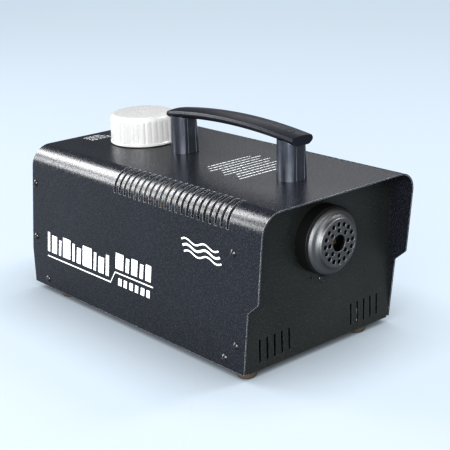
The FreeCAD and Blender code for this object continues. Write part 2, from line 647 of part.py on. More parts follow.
def make_heater():
    """Cast aluminium heating block on two stands, its lagging, thermostat, fitting and leads."""
    half, front = "dim.heater_half_width", f"{FACE} + dim.heater_front"
    axis = f"{BASE} + dim.nozzle_height"
    low = f"{axis} - dim.heater_height / 2"
    end_y = f"{front} + dim.heater_length"
    block = box("heater_cast", f"-{half}", front, low, f"2 * {half}", "dim.heater_length",
                "dim.heater_height")
    rounded = round_edges("heater_rounded", block, 5, lambda e: e.BoundBox.YLength > 50)
    pipe = cylinder("outlet_pipe", 6.5, 30, 0, f"{FACE} + 10", axis, "y")
    spigot = cylinder("outlet_spigot", 4, 12, 0, f"{FACE} + 1", axis, "y")
    ends = [cylinder(f"element_end_{side}", 4, 12, x, f"{end_y} - 1", f"{low} + dim.element_up", "y")
            for side, x in (("left", "-dim.element_x"), ("right", "dim.element_x"))]
    bore = cylinder("vapour_bore", 1.5, 80, 0, FACE, axis, "y")
    stand_screws = [spot for pair in STAND_SCREWS.values() for spot in pair]
    sockets = [cylinder(f"heater_screw_hole_{i}", "dim.screw_shank + 0.1", 12, across, f"{FACE} + {back}",
                        f"{low} - 4")
               for i, (back, across) in enumerate(stand_screws)]
    cast = fuse("heater_solid", rounded, pipe, spigot, *ends)
    node(cut("heater_block", cast, bore, *sockets), "heater_block")
    under = value("nozzle_height") - value("heater_height") / 2 - value("stand_sheet")
    group("heater_screws", [aimed(pan_screw(7), at(back, under, across), Vector(0, 0, -1))
                            for back, across in stand_screws])
    make_jacket(half, front, low)
    for name in ("front", "rear"):
        make_stand(name, half, low)
    disc = cylinder("thermostat_disc", 8, 5, 0, end_y, axis, "y")
    dome = cylinder("thermostat_cap", 5.5, 9, 0, end_y, axis, "y")
    tabs = box("thermostat_tabs", -9, f"{end_y} + 5.5", f"{axis} - 3", 18, 0.8, 6)
    node(fuse("thermostat", disc, dome, tabs), "thermostat")
    x, y, up = "dim.pump_x", f"{FACE} + dim.fitting_back", f"{BASE} + dim.fitting_up"
    node(fuse("feed_fitting_solid", cylinder("fitting_arm", 3.6, 22, x, y, up, "x"),
              cylinder("fitting_drop", "dim.barb_radius", 14, x, y, f"{up} - 12"),
              cylinder("fitting_knee", 4, 8, x, y, f"{up} - 4")), "feed_fitting")
    node(cylinder("thermal_fuse", 2, 14, -14, f"{end_y} + 2", f"{axis} + 16", "x"), "thermal_fuse")
    element = value("element_x")
    end_up = value("nozzle_height") - value("heater_height") / 2 + value("element_up")
    left = [at(161.8, end_up, -element), at(180, 91, -26), at(178, 112, -58), at(156, 118, -77),
            at(150, 92, -81), at(150, 60, -79), at(153, 56, -40), at(153, 56, 48), at(144, 44, 70),
            at(138, 21, 70)]
    right = [at(161.8, end_up, element), at(176, end_up, element + 2), at(180, 70, 50), at(160, 50, 66),
             at(132, 36, 70), at(128, 21, 70)]
    group("heater_leads", [tube(left, 1.4), tube(right, 1.4)])


def make_jacket(half, front, low):
    """Lagging over the block's top and sides, with a hole where the feed fitting passes."""
    outer = box("jacket_out", f"-{half} - dim.jacket", f"{front} + 3", f"{low} + 4",
                f"2 * ({half} + dim.jacket)", "dim.heater_length - 6", "dim.heater_height - 4 + dim.jacket")
    inner = box("jacket_in", f"-{half} - 0.2", f"{front} - 5", f"{low} - 5", f"2 * {half} + 0.4",
                "dim.heater_length + 20", "dim.heater_height + 5.2")
    hole = cylinder("jacket_hole", 6, 60, -70, f"{FACE} + dim.fitting_back", f"{BASE} + dim.fitting_up", "x")
    middle = value("nozzle_height")
    rounded = round_edges("jacket_rounded", outer, 6, lambda e: (
        e.BoundBox.YLength > 50 and e.BoundBox.ZMin > middle))
    node(cut("heater_jacket", rounded, inner, hole), "heater_jacket")


def make_stand(name, half, low):
    """A stand bent from sheet: a foot on the tray, a web, and a head under the block."""
    x, y, wide = f"-{half} + 2", f"{FACE} + dim.stand_{name}", f"2 * {half} - 4"
    floor, sheet_, foot = f"{BASE} + dim.plate", "dim.stand_sheet", "dim.stand_foot"
    web = box(f"stand_{name}_web", x, y, floor, wide, sheet_,
              "dim.nozzle_height - dim.heater_height / 2 - dim.plate")
    base = box(f"stand_{name}_foot", x, y, floor, wide, foot, sheet_)
    head = box(f"stand_{name}_head", x, y, f"{low} - {sheet_}", wide, foot, sheet_)
    holes = [cylinder(f"stand_{name}_hole_{i}", "dim.screw_shank + 0.15", 90, across, f"{FACE} + {back}",
                      BASE)
             for i, (back, across) in enumerate(STAND_SCREWS[name])]
    solid = fuse(f"stand_{name}_sheet", web, base, head)
    node(cut(f"heater_stand_{name}", solid, *holes), f"heater_stand_{name}")


def make_pump():
    """Solenoid piston pump: coil in a steel yoke, sleeve, piston, spring, end fittings and bracket."""
    x, z = "dim.pump_x", f"{BASE} + dim.pump_axis"
    front = f"{FACE} + dim.pump_front"

    def along(name, radius, length, ahead):
        """A cylinder on the pump's axis that starts a distance behind the pump's front."""
        return cylinder(name, radius, length, x, f"{front} + {ahead}", z, "y")

    size, sheet_ = "dim.coil_size", "dim.yoke_sheet"
    coil = box("coil_block", f"{x} - {size} / 2", f"{front} + 22", f"{z} - {size} / 2", size, size, size)
    node(cut("pump_coil", coil, along("coil_bore", "dim.sleeve_outer + 0.2", 60, 10)), "pump_coil")
    outside = f"{size} + 2 * {sheet_} + 0.4"
    yoke_out = box("yoke_out", f"{x} - ({outside}) / 2", f"{front} + 21.8 - {sheet_}",
                   f"{z} - ({outside}) / 2", outside, outside, outside)
    yoke_in = box("yoke_in", f"{x} - 20", f"{front} + 21.8", f"{z} - {size} / 2 - 0.2", 40,
                  f"{size} + 0.4", f"{size} + 0.4")
    yoke_bore = along("yoke_bore", "dim.sleeve_outer + 0.2", 60, 10)
    node(cut("pump_yoke", yoke_out, yoke_in, yoke_bore), "pump_yoke")
    node(cut("pump_sleeve", along("sleeve_out", "dim.sleeve_outer", 42, 16),
             along("sleeve_in", "dim.sleeve_inner", 60, 10)), "pump_sleeve")
    node(cut("pump_piston", along("piston_rod", "dim.piston_radius", 18, 30),
             along("piston_bore", "dim.fluid_bore", 60, 10)), "pump_piston")
    outlet = fuse("outlet_solid", along("outlet_body", 9, 13, 3),
                  along("outlet_barb", "dim.barb_radius", 14, -9))
    node(cut("pump_outlet", outlet, along("outlet_bore", "dim.fluid_bore", 60, -20)), "pump_outlet")
    inlet = fuse("inlet_solid", along("inlet_body", 8, 6, 58), along("inlet_barb", "dim.barb_radius", 11, 62))
    node(cut("pump_inlet", inlet, along("inlet_bore", "dim.fluid_bore", 60, 40)), "pump_inlet")
    make_spring()
    floor = f"{BASE} + dim.plate"
    base = box("bracket_base", f"{x} - 22", f"{front} + 24", floor, 44, 26, 1.5)
    web = box("bracket_web", f"{x} - 17", f"{front} + 24", floor, 34, 26,
              f"dim.pump_axis - ({outside}) / 2 - dim.plate")
    saddle = fuse("bracket_solid", base, web)
    node(cut("pump_bracket", saddle, *floor_screw_holes("bracket", PUMP_SCREWS)), "pump_bracket")


def make_spring():
    """Coil spring between the pump's front end and its piston."""
    start, end, turns, radius, wire = 16.6, 29.6, 6, 3.4, 0.4
    length = end - start
    helix = Part.makeHelix(length / turns, length - 2 * wire, radius)
    ring = Part.Wire(Part.makeCircle(wire, Vector(radius, 0, 0), Vector(0, 1, 0)))
    coil = Part.Wire(helix.Edges).makePipeShell([ring], True, True)
    coil.Placement = Placement(at(value("pump_front") + start + wire, value("pump_axis"), value("pump_x")),
                               Rotation(Vector(0, 0, 1), Vector(0, 1, 0)))
    node(feature("pump_spring", coil), "pump_spring")


def make_hoses():
    """Suction hose from the tank to the pump, delivery hose from the pump to the heater's fitting."""
    x, up, front = value("pump_x"), value("pump_axis"), value("pump_front")
    outer, inner = value("hose_outer"), value("hose_inner")
    start_back = front + 68.5
    start, length = at(start_back, up, x), value("tank_front") - 0.8 - start_back
    straight = Part.makeCylinder(outer, length, start, Vector(0, 1, 0))
    bore = Part.makeCylinder(inner, length, start, Vector(0, 1, 0))
    node(feature("suction_hose", straight.cut(bore)), "suction_hose")
    back = value("fitting_back")
    route = [at(front + 2.5, up, x), at(back, up, x), at(back, value("fitting_up") - 4.2, x)]
    node(feature("delivery_hose", tube(route, outer, inner)), "delivery_hose")


# ---------------------------------------------------------------- electronics and rear panel


def make_board():
    """Control board on four pillars, with its relay, terminal block and transformer."""
    x, y, z = "dim.board_x", f"{FACE} + dim.board_back", f"{BASE} + dim.board_up"
    top = f"{z} + dim.board_thick"
    board = box("control_board", x, y, z, "dim.board_width", "dim.board_length", "dim.board_thick")
    node(board, "control_board")
    node(box("relay", f"{x} + 6", f"{y} + 50", top, 16, 20, 15), "relay")
    node(box("transformer", f"{x} + 6", f"{y} + 8", top, 30, 28, 22), "transformer")
    block = box("terminal_case", f"{x} + 28", f"{y} + 46", top, 12, 32, 10)
    holes = [cylinder(f"terminal_screw_{i}", 2, 8, f"{x} + 34", f"{y} + 52 + {i} * 10", f"{top} + 6")
             for i in range(3)]
    node(cut("terminal_block", block, *holes), "terminal_block")
    inset, radius = 4, 2.6
    wide, long_, floor = value("board_width"), value("board_length"), value("plate")
    group("board_pillars", [
        Part.makeCylinder(radius, value("board_up") - floor,
                          at(value("board_back") + dy, floor, value("board_x") + dx))
        for dx in (inset, wide - inset) for dy in (inset, long_ - inset)])


def rear_slope():
    """Angle of the rear panel's upper part from the vertical, and its height over the knee."""
    run = value("overall_length") / 2 - (value("front_face") + value("rear_top_back"))
    rise = value("body_height") - value("rear_knee")
    return math.degrees(math.atan2(run, rise))


def on_slope(up, across):
    """A placement on the sloping panel's outer face: local +Z points out, local +Y up the slope."""
    angle = rear_slope()
    lean = (up - value("rear_knee")) * math.tan(math.radians(angle))
    out = value("overall_length") / 2 - value("rear_recess") - lean
    turn = Rotation(Vector(0, 0, 1), 180).multiply(Rotation(Vector(1, 0, 0), 90 - angle))
    return Placement(Vector(across, out, value("foot_height") + up), turn)


def on_apron(up, across):
    """A placement on the upright lower part of the rear panel: local +Z points out."""
    out = value("overall_length") / 2 - value("rear_recess")
    turn = Rotation(Vector(0, 0, 1), 180).multiply(Rotation(Vector(1, 0, 0), 90))
    return Placement(Vector(across, out, value("foot_height") + up), turn)


# (up, across) of each control on the rear panel, and the socket's screws from its own centre
SWITCH_AT, BUTTON_AT, LAMP_AT, SOCKET_AT, INLET_AT = (70, -48), (70, -10), (70, 16), (70, 46), (19.5, 0)
SOCKET_SCREWS = [(-9.5, 12), (9.5, -12)]


def local(name, shape, placement):
    """A shape made on a flat panel at the origin, moved onto the rear panel."""
    shape = shape.copy()
    shape.Placement = placement.multiply(shape.Placement)
    return feature(name, shape)


def plate_box(wide, high, low, top):
    """A box centred on the local origin, from local Z low to top."""
    return Part.makeBox(wide, high, top - low, Vector(-wide / 2, -high / 2, low))


def round_bar(radius, low, top, across=0, up=0):
    """A cylinder along local Z, from low to top."""
    return Part.makeCylinder(radius, top - low, Vector(across, up, low))


def cross_bar(radius, length, up=0, depth=0):
    """A cylinder centred on the local origin, along local Y."""
    return Part.makeCylinder(radius, length, Vector(0, up - length / 2, depth), Vector(0, 1, 0))


def make_earth_stud():
    """Threaded stud in the tray's floor with its two nuts, where the earth wire ends."""
    back, across, floor = value("earth_back"), value("earth_x"), value("plate")
    stud = Part.makeCylinder(2, value("earth_length"), at(back, floor, across))
    for up in (floor, floor + 9):
        stud = stud.fuse(hex_nut(at(back, up, across)))
    node(feature("earth_stud", stud.removeSplitter()), "earth_stud")


def make_rear_panel():
    """Folded panel: an upright apron with the mains inlet and a slope with the controls."""
    owner = body("rear_sheet")
    rear, plate_, recess = "dim.overall_length / 2", "dim.plate", "dim.rear_recess"
    top_back = f"{FACE} + dim.rear_top_back - {recess}"
    sketch = outline(owner, "rear_profile", "YZ_Plane", [
        (f"{rear} - {recess}", f"{BASE} + dim.plate"), (f"{rear} - {recess}", f"{BASE} + dim.rear_knee"),
        (top_back, TOP), (f"{top_back} - {plate_}", TOP),
        (f"{rear} - {recess} - {plate_}", f"{BASE} + dim.rear_knee"),
        (f"{rear} - {recess} - {plate_}", f"{BASE} + dim.plate")])
    pad(owner, "rear_bend", sketch, 400, middle=True)
    trimmed = common("rear_trimmed", owner, inner_section("rear_trim", value("fit_gap")))
    half = "(dim.body_width / 2 - dim.plate - dim.fit_gap)"
    ears = []
    for side, x in (("left", f"-{half}"), ("right", f"{half} - dim.plate")):
        for i, (back, up) in enumerate(cover_screw_places()[4:]):
            ears.append(box(f"ear_{side}_{i}", x, f"{FACE} + {back} - 5", f"{BASE} + {up} - 8", "dim.plate",
                            16, 16))
    flange_back = f"{rear} - {recess} - {plate_} - dim.rear_flange"
    ears.append(box("rear_flange", f"-{half} + 3", flange_back, f"{BASE} + {plate_}", f"2 * {half} - 6",
                    "dim.rear_flange + dim.plate", plate_))
    solid = fuse("rear_solid", trimmed, *ears)
    cutters = [local("ear_waste", plate_box(400, 400, 0, 40), on_slope(70, 0))]
    cutters += floor_screw_holes("rear", REAR_SCREWS)
    for name, spot, shape in (("switch", on_slope(*SWITCH_AT), plate_box(19.4, 13, -20, 20)),
                              ("button", on_slope(*BUTTON_AT), round_bar(6.2, -20, 20)),
                              ("lamp", on_slope(*LAMP_AT), round_bar(3.2, -20, 20)),
                              ("socket", on_slope(*SOCKET_AT), round_bar(11.2, -20, 20)),
                              ("inlet", on_apron(*INLET_AT), plate_box(27.6, 20.2, -20, 20))):
        cutters.append(local(name + "_cutout", shape, spot))
    for i, (across, up) in enumerate(SOCKET_SCREWS):
        hole = round_bar(1.75, -10, 10, across, up)
        cutters.append(local(f"socket_screw_hole_{i}", hole, on_slope(*SOCKET_AT)))
    for i, (back, up) in enumerate(cover_screw_places()[4:]):
        cutters.append(cylinder(f"ear_hole_{i}", "dim.screw_shank + 0.1", 240, -120, f"{FACE} + {back}",
                                f"{BASE} + {up}", "x"))
    node(cut("rear_panel", solid, *cutters), "rear_panel")


def make_controls():
    """Everything on the rear panel: rocker switch, fog button, ready lamp, remote socket, mains inlet."""
    make_switch(on_slope(*SWITCH_AT))
    make_button(on_slope(*BUTTON_AT))
    make_lamp(on_slope(*LAMP_AT))
    make_remote_socket(on_slope(*SOCKET_AT))
    make_inlet(on_apron(*INLET_AT))


SEAT = 0.02    # a bezel's gap over the panel's face


def make_switch(spot):
    """Rocker switch: housing with a bezel and three tabs, and the rocker on its pivot."""
    pivot_depth, pivot_radius = -1, 1.5
    bezel = plate_box(21.4, 15, SEAT, 1.8).fuse(plate_box(19.1, 12.7, -18, SEAT)).removeSplitter()
    bezel = bezel.cut(plate_box(16.4, 10.6, -11, 5))
    bezel = bezel.cut(cross_bar(pivot_radius + 0.06, 12.2, 0, pivot_depth))
    for across in (-6, 0, 6):
        bezel = bezel.fuse(plate_box(0.8, 5, -26, -18).translated(Vector(across, 0, 0)))
    node(local("switch_housing", bezel, spot), "switch_housing")
    # the rocker is a shallow V seen from the side, resting with its left half pressed
    tilt, wide, deep, thick = 9, 7.6, 5, 10
    face = [Vector(-wide, 0, 3.5), Vector(0, 0, 2.2), Vector(wide, 0, 3.5), Vector(wide - 1.6, 0, -1.5),
            Vector(2.5, 0, -deep), Vector(-2.5, 0, -deep), Vector(-wide + 1.6, 0, -1.5)]
    rocker = Part.Face(Part.makePolygon(face + face[:1])).extrude(Vector(0, thick, 0))
    rocker = rocker.translated(Vector(0, -thick / 2, 0)).fuse(cross_bar(pivot_radius, 12, 0, pivot_depth))
    rocker.rotate(Vector(0, 0, pivot_depth), Vector(0, 1, 0), tilt)
    node(local("power_rocker", rocker, spot), "power_rocker")


def make_button(spot):
    """Momentary button: a threaded housing with a flange, and the plunger in it."""
    housing = round_bar(8, SEAT, 2.22).fuse(round_bar(6, -15.98, SEAT))
    node(local("button_housing", housing.cut(round_bar(4.7, -12, 4)), spot), "button_housing")
    node(local("fog_button", round_bar(4.62, -5.5, 5.5), spot), "fog_button")


def make_lamp(spot):
    """Ready lamp: a domed lens with a flange on a short barrel."""
    lens = Part.makeSphere(3, Vector(0, 0, 1))
    lamp = round_bar(4.4, SEAT, 1.22).fuse(round_bar(3, -11.98, SEAT)).fuse(lens)
    node(local("ready_lamp", lamp.removeSplitter(), spot), "ready_lamp")


def make_remote_socket(spot):
    """Round three-pin socket on a square flange, held by two screws."""
    flange_top, contact_ring, contact_radius = 1.62, 5, 1.2
    shell = plate_box(26, 31, SEAT, flange_top).fuse(round_bar(11, -21.98, SEAT))
    shell = shell.cut(round_bar(9.2, -12, 2))
    for across, up in SOCKET_SCREWS:
        shell = shell.cut(round_bar(1.75, -2, 4, across, up))
    angles = [math.radians(turn) for turn in (30, 150, 270)]
    contacts = [round_bar(contact_radius, -12, -3, contact_ring * math.cos(a), contact_ring * math.sin(a))
                for a in angles]
    screws = [pan_screw(5).translated(Vector(across, up, flange_top)) for across, up in SOCKET_SCREWS]
    node(local("remote_socket", shell.removeSplitter(), spot), "remote_socket")
    node(local("socket_contacts", Part.makeCompound(contacts), spot), "socket_contacts")
    node(local("socket_screws", Part.makeCompound(screws), spot), "socket_screws")


def make_inlet(spot):
    """Mains inlet with three blades, and a drawer below them that holds the fuse."""
    blade_row, drawer_row = Vector(0, 3, 0), Vector(0, -7.2, 0)
    shell = plate_box(31, 24.5, SEAT, 2.2).fuse(plate_box(27.2, 19.8, -24, SEAT)).removeSplitter()
    shell = shell.cut(plate_box(24.2, 12, -14, 5).translated(blade_row))
    shell = shell.cut(plate_box(22.4, 5.4, -20, 5).translated(drawer_row))
    blades = [plate_box(2, 5, -14, -2.5).translated(blade_row + Vector(across, up, 0))
              for across, up in ((-7, -1), (7, -1), (0, 1.5))]
    drawer = plate_box(22, 5, -19, 2.4).cut(plate_box(19, 3, -17, 0)).translated(drawer_row)
    link = Part.makeCylinder(1.4, 18.4, drawer_row + Vector(-9.2, 0, -8), Vector(1, 0, 0))
    node(local("mains_inlet", shell, spot), "mains_inlet")
    node(local("inlet_pins", Part.makeCompound(blades), spot), "inlet_pins")
    node(local("fuse_drawer", drawer, spot), "fuse_drawer")
    node(local("fuse", link, spot), "fuse")


def make_wiring():
    """Wires from the rear panel, and from the pump's coil, to the board. They pass beside the tank."""
    runs = [
        [at(293.2, 22, 7), at(287, 22, 8), at(286, 25, 60), at(281, 28, 80.5), at(160, 28, 80.5),
         at(120, 34, 79), at(118, 34, 70), at(118, 21, 70)],
        [at(293.2, 28, -7), at(288, 30, -6), at(286, 32, 58), at(279, 34, 80.5), at(170, 35, 80.5),
         at(108, 40, 76), at(104, 22, 66), at(104, 11.4, 62)],
        [at(285.6, 66.5, -48), at(281.8, 66, -30), at(285, 64, 20), at(284, 50, 66), at(276, 44, 80.5),
         at(170, 42, 80.5), at(100, 46, 78), at(90, 28, 77), at(88, 11.4, 77)],
        [at(287.4, 68, 46), at(283, 67, 58), at(283.5, 60, 72), at(272, 52, 80.5), at(170, 50, 80.5),
         at(86, 52, 79), at(74, 28, 78), at(72, 11.4, 78)],
        [at(152, 30, -38.6), at(152, 30, -20), at(151, 24, 20), at(146, 20, 44), at(143, 11.4, 49)]]
    group("control_wiring", [tube(run, 1.2) for run in runs])


make_tray()
make_cover_openings(make_cover())
make_feet()
make_case_screws()
make_nozzle()
make_handle()
make_tank()
make_heater()
make_pump()
make_hoses()
make_board()
make_earth_stud()
make_rear_panel()
make_controls()
make_wiring()
doc.recompute()

problems = [f"{o.Name}: {o.State}" for o in doc.Objects if {"Invalid", "Error"} & set(o.State)]
for item in NODES:
    if item.Shape.isNull() or not item.Shape.isValid() or not item.Shape.Solids:
        problems.append(f"{item.Label}: no valid solid")
if problems:
    raise SystemExit("\n".join(problems))

os.makedirs("parts", exist_ok=True)
for item in NODES:
    item.Shape.exportStep(f"parts/{item.Label}.step")
print(len(NODES), "nodes")
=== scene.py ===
import bpy
import bmesh
import json
import math
import random
from mathutils import Matrix, Vector


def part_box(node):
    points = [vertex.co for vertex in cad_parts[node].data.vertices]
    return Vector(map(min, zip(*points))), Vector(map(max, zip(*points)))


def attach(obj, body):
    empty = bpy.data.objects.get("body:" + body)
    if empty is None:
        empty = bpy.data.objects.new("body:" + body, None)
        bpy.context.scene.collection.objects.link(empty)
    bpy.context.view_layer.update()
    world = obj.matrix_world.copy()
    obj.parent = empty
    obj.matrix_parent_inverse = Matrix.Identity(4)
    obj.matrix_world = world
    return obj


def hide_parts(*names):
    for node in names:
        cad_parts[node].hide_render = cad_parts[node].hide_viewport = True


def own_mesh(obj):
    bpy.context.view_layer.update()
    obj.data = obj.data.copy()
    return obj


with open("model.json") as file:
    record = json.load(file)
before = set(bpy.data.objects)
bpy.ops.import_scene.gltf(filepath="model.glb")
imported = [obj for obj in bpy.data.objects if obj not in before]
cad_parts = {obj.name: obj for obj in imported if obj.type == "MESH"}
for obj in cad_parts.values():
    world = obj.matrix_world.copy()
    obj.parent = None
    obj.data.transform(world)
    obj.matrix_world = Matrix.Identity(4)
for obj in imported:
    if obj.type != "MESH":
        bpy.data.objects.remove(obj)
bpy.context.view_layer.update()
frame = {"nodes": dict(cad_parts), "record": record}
random.seed(7)
MM = 0.001


# ------------------------------------------------------------------ materials


NOISE_RANGE = (0.3, 0.7)  # nearly all of a noise's values lie between these
GLINT_RANGE = (0.52, 0.74)  # the part of the fine noise that fades in as pale specks, painted glints of the grainy paint
EDGE_RANGE = (0.86, 0.985)  # cosine between the softened and the true normal, from the lighter edge colour to clean; on the case that edge colour is a painted highlight


def ramp(tree, source, places, colours):
    """A colour ramp with two stops, driven by a socket."""
    made = tree.nodes.new("ShaderNodeValToRGB")
    for stop, place, colour in zip(made.color_ramp.elements, places, colours):
        stop.position, stop.color = place, (*colour, 1)
    tree.links.new(source, made.inputs["Fac"])
    return made.outputs["Color"]


def noise(tree, vector, scale, detail):
    """Soft noise at a scale in cycles a metre."""
    made = tree.nodes.new("ShaderNodeTexNoise")
    made.inputs["Scale"].default_value = scale
    made.inputs["Detail"].default_value = detail
    tree.links.new(vector, made.inputs["Vector"])
    return made.outputs["Fac"]


def painted_glints(tree, tint, fine, amount):
    """A tint with pale specks where the fine noise peaks: painted glints of the grainy paint."""
    glints = ramp(tree, fine, GLINT_RANGE, ((0, 0, 0), (amount, amount, amount)))
    lit = tree.nodes.new("ShaderNodeMix")
    lit.data_type, lit.blend_type = "RGBA", "ADD"
    lit.inputs["Factor"].default_value = 1
    tree.links.new(tint, lit.inputs["A"])
    tree.links.new(glints, lit.inputs["B"])
    return lit.outputs["Result"]


def worn_and_highlit_edges(tree, tint, broad, amount, bare_and_highlight_colour, width):
    """A tint that turns to a lighter colour along outside edges, in patches: wear, and on the case's paint a
    painted highlight. width is in millimetres.
    """
    link = tree.links.new
    shape = tree.nodes.new("ShaderNodeNewGeometry")
    softened = tree.nodes.new("ShaderNodeBevel")
    softened.samples = 4
    softened.inputs["Radius"].default_value = width * MM
    facing = tree.nodes.new("ShaderNodeVectorMath")
    facing.operation = "DOT_PRODUCT"
    link(softened.outputs["Normal"], facing.inputs[0])
    link(shape.outputs["True Normal"], facing.inputs[1])
    edge = ramp(tree, facing.outputs["Value"], EDGE_RANGE, ((amount, amount, amount), (0, 0, 0)))
    wear_and_highlight_mask = tree.nodes.new("ShaderNodeMath")
    wear_and_highlight_mask.operation = "MULTIPLY"
    link(edge, wear_and_highlight_mask.inputs[0])
    link(broad, wear_and_highlight_mask.inputs[1])
    mixed = tree.nodes.new("ShaderNodeMix")
    mixed.data_type = "RGBA"
    mixed.inputs["B"].default_value = (*bare_and_highlight_colour, 1)
    link(wear_and_highlight_mask.outputs["Value"], mixed.inputs["Factor"])
    link(tint, mixed.inputs["A"])
    return mixed.outputs["Result"]


def paint(name, colour, rough, metal=0.0, grain=1600, depth=0.02, mottle=30, tone=0.1,
          rough_spread=0.1, wear_and_highlight=0.0, worn_and_highlight_colour=(0.3, 0.3, 0.31), brushed=(1, 1, 1), coat=0.0, light=0.0,
          soft=0.0, clear=0.0, glint_speck=0.0, shine=0.5, edge_size=0.6):
    """A surface with grain in its bump, drifting tone and roughness, and lighter edges: worn, and on the
    case a painted highlight.

    grain and mottle are sizes in cycles a metre. depth is the grain's height and edge_size the lighter
    edge's width, in millimetres. brushed is a stretch along X, Y and Z for drawn or turned metal.
    """
    made = bpy.data.materials.new(name)
    made.use_nodes = True
    tree = made.node_tree
    nodes, link = tree.nodes, tree.links.new
    shader = nodes["Principled BSDF"]
    for socket, amount in (("Metallic", metal), ("Specular IOR Level", shine), ("Coat Weight", coat),
                           ("Coat Roughness", 0.12), ("Subsurface Weight", soft),
                           ("Subsurface Radius", (0.004, 0.004, 0.003)), ("Transmission Weight", clear)):
        shader.inputs[socket].default_value = amount
    where = nodes.new("ShaderNodeTexCoord")
    stretch = nodes.new("ShaderNodeMapping")
    stretch.inputs["Scale"].default_value = brushed
    link(where.outputs["Object"], stretch.inputs["Vector"])
    fine = noise(tree, stretch.outputs["Vector"], grain, 3)
    broad = noise(tree, where.outputs["Object"], mottle, 5)
    darker, lighter = [c * (1 - tone) for c in colour], [min(1, c * (1 + tone)) for c in colour]
    tint = ramp(tree, broad, NOISE_RANGE, (darker, lighter))
    # pale specks painted in as glints of the grainy paint
    if glint_speck:
        tint = painted_glints(tree, tint, fine, glint_speck)
    if wear_and_highlight:
        # lighter edges: wear, and on the case's paint a painted highlight
        tint = worn_and_highlit_edges(tree, tint, broad, wear_and_highlight, worn_and_highlight_colour, edge_size)
    link(tint, shader.inputs["Base Color"])
    if light:
        link(tint, shader.inputs["Emission Color"])
        shader.inputs["Emission Strength"].default_value = light
    gloss = nodes.new("ShaderNodeMapRange")
    gloss.inputs["From Min"].default_value, gloss.inputs["From Max"].default_value = NOISE_RANGE
    gloss.inputs["To Min"].default_value = max(0.03, rough - rough_spread)
    gloss.inputs["To Max"].default_value = min(1, rough + rough_spread)
    link(fine, gloss.inputs["Value"])
    link(gloss.outputs["Result"], shader.inputs["Roughness"])
    bump = nodes.new("ShaderNodeBump")
    bump.inputs["Strength"].default_value = 1
    bump.inputs["Distance"].default_value = depth * MM
    link(fine, bump.inputs["Height"])
    link(bump.outputs["Normal"], shader.inputs["Normal"])
    return made


